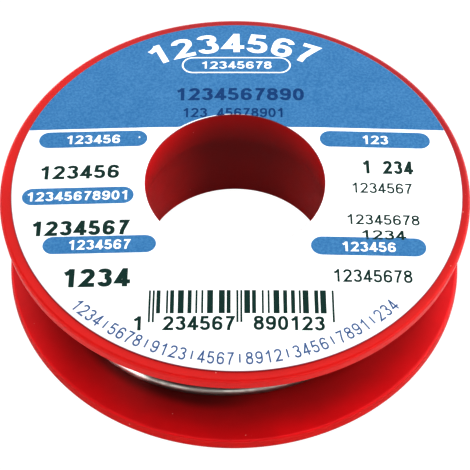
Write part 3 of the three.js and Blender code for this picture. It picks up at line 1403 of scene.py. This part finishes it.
@dataclass
class Label:
    """The paper ring on the upper flange and everything printed on it, all of it plain numbers."""

    sizes: SpoolSizes
    digits: Digits = field(default_factory=Digits)
    paper_gap: float = 0.04
    paper_thickness: float = 0.13
    paper_edge: float = 0.04
    inner_radius: float = 12.02
    ink_lift: float = 0.004
    ink_thickness: float = 0.008
    sheet_play: float = 0.02
    slip: Point = (0.24, -0.05)
    chord: float = 9.55
    chord_lean: float = 0.014
    level_at: float = 17.0
    bay_radius: float = 12.14
    bay_slip: float = -0.24
    field_margin: float = 0.1
    field_cells: tuple[int, int] = (160, 14)
    frame_line: float = 0.24
    band_foot: float = 0.62
    band_height: float = 1.55
    band_pen: float = 0.18
    punch_play: float = 0.03
    steps: int = 360

    @property
    def sheet_radius(self) -> float:
        """The paper's outer radius, a little less than its room on the flange."""
        return self.sizes.label_radius - self.sheet_play

    def paper_level(self, radius: float) -> float:
        """The level of the paper's upper side at a radius."""
        return self.sizes.face_level(radius) + self.paper_gap + self.paper_thickness

    def paper(self) -> bpy.types.Object:
        """The paper ring.

        Returns:
            The ring.
        """
        s, edge = self.sizes, self.paper_edge
        land = s.upper_bore_radius + s.land_width
        inner, outer = self.inner_radius, self.sheet_radius
        trim = 2.5 * edge
        under = [(r, s.face_level(r) + self.paper_gap) for r in (inner, land, outer - edge)]
        over = [(r, self.paper_level(r)) for r in (outer - trim, land, inner + edge)]
        sides = [(outer, self.paper_level(outer) - edge), (inner, self.paper_level(inner) - edge)]
        off_centre = {2, 3, 4}

        def shift(index: int, degrees: float) -> float:
            """How far the sheet's outer edge lies out of round with its hole."""
            a = math.radians(degrees)
            return self.slip[0] * math.cos(a) + self.slip[1] * math.sin(a) if index in off_centre else 0.0

        bm = bmesh.new()
        sweep_ring(bm, [*under, sides[0], *over, sides[1]], self.steps, shift)
        return make_object("label_sheet", bm)

    def field_outline(self) -> tuple[list[Point], list[tuple[int, ...]]]:
        """The blue field above the chord, with a bay for the bore.

        Returns:
            Its points and faces.
        """
        reach = self.sheet_radius - self.field_margin
        end = math.sqrt(reach**2 - (self.chord - self.slip[1]) ** 2)
        columns, rows = self.field_cells
        least_height = 0.002
        points: list[Point] = []
        for i in range(columns + 1):
            x = -end * math.cos(math.pi * i / columns)
            top = self.slip[1] + math.sqrt(max(reach**2 - x * x, 0))
            x += self.slip[0]
            foot = self.chord - self.chord_lean * (abs(x) - self.level_at)
            if abs(x - self.bay_slip) < self.bay_radius:
                foot = max(foot, math.sqrt(self.bay_radius**2 - (x - self.bay_slip) ** 2))
            top = max(top, foot + least_height)
            points += [(x, foot + (top - foot) * j / rows) for j in range(rows + 1)]
        corners = [i * (rows + 1) + j for i in range(columns) for j in range(rows)]
        return points, [(a, a + rows + 1, a + rows + 2, a + 1) for a in corners]

    def sheet(self, ink: str, layer: int = 0) -> InkSheet:
        """An empty sheet of one ink, on the paper or on the layer of ink below it."""
        lift = self.ink_lift + layer * (self.ink_lift + self.ink_thickness)
        return InkSheet("label_print_" + ink, lift, self.ink_thickness, self.digits)

    def blue(self) -> InkSheet:
        """The field and the bars.

        Returns:
            The sheet with its shapes.
        """
        sheet = self.sheet("blue")
        sheet.shape(*self.field_outline())
        for band, _, _ in BANDS:
            sheet.outline(band.outline())
        return sheet

    def white(self) -> InkSheet:
        """The white digits and the outlined bar on the blue.

        Returns:
            The sheet with its shapes.
        """
        sheet = self.sheet("white", 1)
        sheet.ring(WHITE_RING)
        sheet.strip(WHITE_FRAME.outline(), WHITE_FRAME.outline(self.frame_line))
        sheet.line(WHITE_LINE)
        for band, text, share in BANDS:
            middle = (band.left + band.right) / 2
            half = (band.right - band.left) * share / 2
            foot = band.foot + self.band_foot
            sheet.line(Line(text, middle - half, middle + half, foot, self.band_height, self.band_pen))
        return sheet

    def navy(self) -> InkSheet:
        """The dark digits on the blue field.

        Returns:
            The sheet with its shapes.
        """
        sheet = self.sheet("navy", 1)
        for row in NAVY_LINES:
            sheet.line(row)
        return sheet

    def green(self) -> InkSheet:
        """The dark green digits and the block of bars.

        Returns:
            The sheet with its shapes.
        """
        sheet = self.sheet("green")
        for row in GREEN_LINES:
            sheet.line(row)
        for bar in plain_bars():
            sheet.outline(bar)
        return sheet

    def violet(self) -> InkSheet:
        """The ring of small digits along the front edge.

        Returns:
            The sheet with its shapes.
        """
        sheet = self.sheet("violet")
        sheet.ring(VIOLET_RING)
        return sheet

    def punch(self) -> bpy.types.Object:
        """The punch that cut the label's hole, also through the digits that reach over it.

        Returns:
            The punch, which reaches past the paper on both sides.
        """
        radius, low, high = self.inner_radius + self.punch_play, self.sizes.height - 1, self.sizes.height + 1
        bm = bmesh.new()
        sweep_ring(bm, [(ON_AXIS, low), (radius, low), (radius, high), (ON_AXIS, high)], self.steps // 2)
        return make_object("label_punch", bm)

    def build(self, paper: bpy.types.Material, inks: dict[str, bpy.types.Material]) -> None:
        """Makes the paper and all the ink on it.

        Args:
            paper: The paper's finish.
            inks: The finish of each ink by its name.
        """
        finish_piece(self.paper(), paper, ["label"])
        prints = {
            "blue": self.blue(),
            "white": self.white(),
            "navy": self.navy(),
            "green": self.green(),
            "violet": self.violet(),
        }
        for name, sheet in prints.items():
            piece = sheet.build(self.paper_level)
            if name == "navy":
                combine(piece, self.punch(), "DIFFERENCE")
            finish_piece(piece, inks[name])


# ---------------------------------------------------------------------------- the wire


@dataclass
class Winding:
    """The whole length of 2 mm wire: six layers round the barrel, from the anchor hole to the cut end."""

    sizes: SpoolSizes
    wire_radius: float = 1.0
    layers: int = 6
    layer_rise: float = 1.7
    rows: int = 6
    first_radius: float = 15.1
    end_angle: float = -60.0
    loose_bulge: float = 1.06
    loose_angle: float = -130.0
    loose_fade: float = 54.0
    loose_start: float = 24.0
    end_tuck: float = 0.2
    end_tuck_reach: float = 0.06
    end_flick: float = 0.6
    step_share: float = 0.35
    climb: float = 0.12
    anchor_turn: float = 0.08
    level_play: float = 0.04
    radius_play: float = 0.03
    play_waves: tuple[float, float, float] = (5.1, 0.7, 7.7)
    whole_turns: int = 33
    steps_per_turn: int = 72
    sides: int = 14
    pinch_length: float = 1.1
    pinched: float = 0.12
    pinch_steps: int = 6
    entry_bend: float = 1.6
    bend_steps: int = 8
    inner_end: float = 0.7
    drop_steps: int = 3

    @property
    def turns(self) -> float:
        """How many turns the wire makes, so that it starts at the anchor hole."""
        return self.whole_turns - (self.sizes.anchor_angle - self.end_angle) / 360

    @staticmethod
    def smooth(t: float) -> float:
        """Goes from 0 to 1 along a smooth step."""
        s = min(max(t, 0.0), 1.0)
        return s * s * (3 - 2 * s)

    def point(self, back: float) -> Vector:
        """The middle of the wire.

        Args:
            back: Turns back from the cut end.

        Returns:
            The point in millimetres.
        """
        s = self.sizes
        per_layer = self.turns / self.layers
        layer = min(int(back / per_layer), self.layers - 1)
        inside = back - layer * per_layer
        rising = layer % 2 == 0
        whole = math.floor(inside)
        row = whole + self.smooth((inside - whole - 1 + self.step_share) / self.step_share)
        row = min(row, self.rows - 1)
        if not rising:
            row = self.rows - 1 - row
        lowest = s.lower_inner_face + self.wire_radius
        travel = s.upper_inner_face - s.lower_inner_face - 2 * self.wire_radius
        level = lowest + travel * row / (self.rows - 1)
        climb, last = self.climb, self.layers - 1
        to_next = self.smooth((inside - per_layer + climb) / (2 * climb)) if layer < last else 0.0
        from_last = self.smooth((climb - inside) / (2 * climb)) if layer > 0 else 0.0
        depth = layer + to_next - from_last
        radius = self.first_radius + self.layer_rise * (self.layers - 1 - depth)
        angle = self.end_angle - 360 * back
        if back < 1:
            past = angle - self.loose_angle
            loose = past / self.loose_fade if past > 0 else -past / self.loose_start
            radius += self.loose_bulge * self.smooth(1 - loose)
            radius -= self.end_tuck * self.smooth(1 - back / self.end_tuck_reach)
        anchor = self.smooth(1 - (self.turns - back) / self.anchor_turn)
        radius += (s.anchor_radius - self.first_radius) * anchor
        if back > 1:
            fast, slow, outward = (wave * back for wave in self.play_waves)
            level += self.level_play * math.sin(fast) * math.sin(slow)
            radius += self.radius_play * math.sin(outward + 1.0)
        a = math.radians(angle)
        return Vector((radius * math.cos(a), radius * math.sin(a), level))

    def path(self) -> list[Vector]:
        """The wire's middle line, from the cut end to the end in the anchor hole.

        Returns:
            Its points.
        """
        count = round(self.turns * self.steps_per_turn)
        entry = self.entry_bend / (2 * math.pi * self.sizes.anchor_radius)
        points = [self.point((self.turns - entry) * i / count) for i in range(count + 1)]
        along = (points[-1] - points[-2]).normalized()
        start = points[-1].copy()
        down = Vector((0, 0, -1))
        for i in range(1, self.bend_steps + 1):
            a = math.radians(90) * i / self.bend_steps
            ahead = along * self.entry_bend * math.sin(a)
            points.append(start + ahead + down * self.entry_bend * (1 - math.cos(a)))
        end = points[-1]
        drop = end.z - self.inner_end
        points += [end + down * drop * i / self.drop_steps for i in range(1, self.drop_steps + 1)]
        outward = Vector((points[0].x, points[0].y, 0)).normalized()
        ahead = ((points[0] - points[1]).normalized() + outward * self.end_flick).normalized()
        count = self.pinch_steps
        straight = [points[0] + ahead * self.pinch_length * i / count for i in range(count, 0, -1)]
        return straight + points

    def build(self, metal: bpy.types.Material) -> None:
        """Makes the wire.

        Args:
            metal: Its finish.
        """
        path = self.path()
        bm = bmesh.new()
        side = Vector((0, 0, 1)).cross(path[1] - path[0]).normalized()
        rings = []
        length = 0.0
        for i, spot in enumerate(path):
            along = (path[min(i + 1, len(path) - 1)] - path[max(i - 1, 0)]).normalized()
            side = (side - along * side.dot(along)).normalized()
            top = along.cross(side)
            if i:
                length += (spot - path[i - 1]).length
            flat = self.pinched + (1 - self.pinched) * self.smooth(length / self.pinch_length)
            ring = []
            for k in range(self.sides):
                a = 2 * math.pi * k / self.sides
                reach = side * math.cos(a) * flat + top * math.sin(a)
                ring.append(bm.verts.new(spot + reach * self.wire_radius))
            rings.append(ring)
        for here, there in zip(rings, rings[1:]):
            for k in range(self.sides):
                j = (k + 1) % self.sides
                bm.faces.new((here[k], here[j], there[j], there[k]))
        bm.faces.new(rings[0])
        bm.faces.new(rings[-1])
        log.info("the wire is %.2f m long", length * MM)
        nodes = ["solder_inner_layers", "solder_outer_layer"]
        finish_piece(make_object("solder_winding", bm, 50), metal, nodes)


# ---------------------------------------------------------------------------- the studio


@dataclass
class Studio:
    """A pale floor, the soft light of the room and the camera that looks down at the spool's front."""

    sizes: SpoolSizes
    lens: float = 121.70
    sensor: float = 36.0
    camera_back: float = 0.13719
    camera_above_bore: float = 0.16195
    camera_tilt: float = 38.346
    floor_radius: float = 3.0
    floor_grain: float = 900.0
    floor_tones: Point = (0.78, 0.80)
    floor_white: float = 1.07
    floor_seen: float = 0.93
    glow_strength: float = 1.7
    glow_turn: float = 31.5
    glow_edge: Point = (0.02, 0.52)
    horizon_strength: float = 3.9
    horizon_edge: Point = (0.17, 0.40)
    overhead_strength: float = 3.25
    overhead_edge: Point = (0.86, 0.94)
    contrast: float = 0.8

    def camera(self) -> None:
        """Sets up the camera."""
        data = bpy.data.cameras.new("camera")
        data.lens = self.lens
        data.sensor_width = self.sensor
        data.clip_start = 0.01
        holder = bpy.data.objects.new("camera", data)
        holder.location = (0, -self.camera_back, self.camera_above_bore + self.sizes.height * MM)
        holder.rotation_euler = (math.radians(self.camera_tilt), 0, 0)
        bpy.context.scene.collection.objects.link(holder)
        bpy.context.scene.camera = holder

    def floor(self) -> None:
        """Lays the floor."""
        bm = bmesh.new()
        bmesh.ops.create_circle(bm, cap_ends=True, radius=self.floor_radius / MM, segments=96)
        floor = make_object("floor", bm)
        material = bpy.data.materials.new("pale_floor")
        material.use_nodes = True
        material.node_tree.nodes.clear()
        w = Wiring(material.node_tree)
        grain = w.add("TexNoise", {"Scale": self.floor_grain, "Detail": 2.0})
        pale = w.mix(grain.outputs[0], *((tone, tone, tone, 1) for tone in self.floor_tones))
        matt = w.add("BsdfDiffuse", {"Color": pale})
        white = w.add("Emission", {"Color": (1, 1, 1, 1), "Strength": self.floor_white})
        seen = w.times(w.add("LightPath").outputs["Is Camera Ray"], self.floor_seen)
        both = w.add("MixShader", {0: seen, 1: matt.outputs[0], 2: white.outputs[0]})
        w.add("OutputMaterial", {"Surface": both.outputs[0]})
        floor.data.materials.append(material)

    def world(self) -> None:
        """Sets the even light of the room."""
        world = bpy.data.worlds.new("studio")
        world.use_nodes = True
        w = Wiring(world.node_tree)
        x, y, z = w.add("SeparateXYZ", {0: w.add("TexCoord").outputs["Generated"]}).outputs
        level = w.math("MAXIMUM", w.length(x, y), 0.01)
        towards = w.along(x, y, 90 - self.glow_turn)
        side = w.ramp(w.math("DIVIDE", towards, level), *self.glow_edge)
        below = w.ramp(z, *self.overhead_edge, (self.glow_strength, 0.0))
        overhead = w.ramp(z, *self.overhead_edge, (0.0, self.overhead_strength))
        horizon = w.ramp(z, *self.horizon_edge, (self.horizon_strength, 0.0))
        strength = w.plus(w.times(side, below), w.plus(overhead, horizon))
        w.feed(world.node_tree.nodes["Background"], {"Color": (1, 1, 1, 1), "Strength": strength})
        bpy.context.scene.world = world

    def build(self) -> None:
        """Makes the whole studio."""
        self.camera()
        self.floor()
        self.world()
        view = bpy.context.scene.view_settings
        view.view_transform = "Standard"
        view.gamma = self.contrast


# ---------------------------------------------------------------------------- the whole picture


INKS = (
    Ink("blue", (0.029, 0.158, 0.345, 1), (0.12, 0.31, 0.53, 1), 0.36, 0.32),
    Ink("white", (0.95, 0.955, 0.96, 1), (0.75, 0.82, 0.90, 1), 0.12, 0.25),
    Ink("navy", (0.0005, 0.038, 0.15, 1), (0.001, 0.080, 0.23, 1), 0.45, 0.3),
    Ink("green", (0.0005, 0.028, 0.021, 1), (0.003, 0.048, 0.039, 1), 0.25, 0.25),
    Ink("violet", (0.040, 0.095, 0.225, 1), (0.12, 0.20, 0.37, 1), 0.3, 0.3),
)


def main() -> None:
    """Builds the spool's looks and the studio round it."""
    logging.basicConfig(level=logging.INFO, format="%(name)s: %(message)s")
    sizes = SpoolSizes.from_frame()
    effects = Effects()
    Mouldings(sizes).build(RedPlastic().build(effects, sizes))
    Label(sizes).build(LabelPaper().build(effects), {ink.name: ink.build(effects) for ink in INKS})
    Winding(sizes).build(SolderMetal().build(effects))
    Studio(sizes).build()


if __name__ == "__main__":
    main()
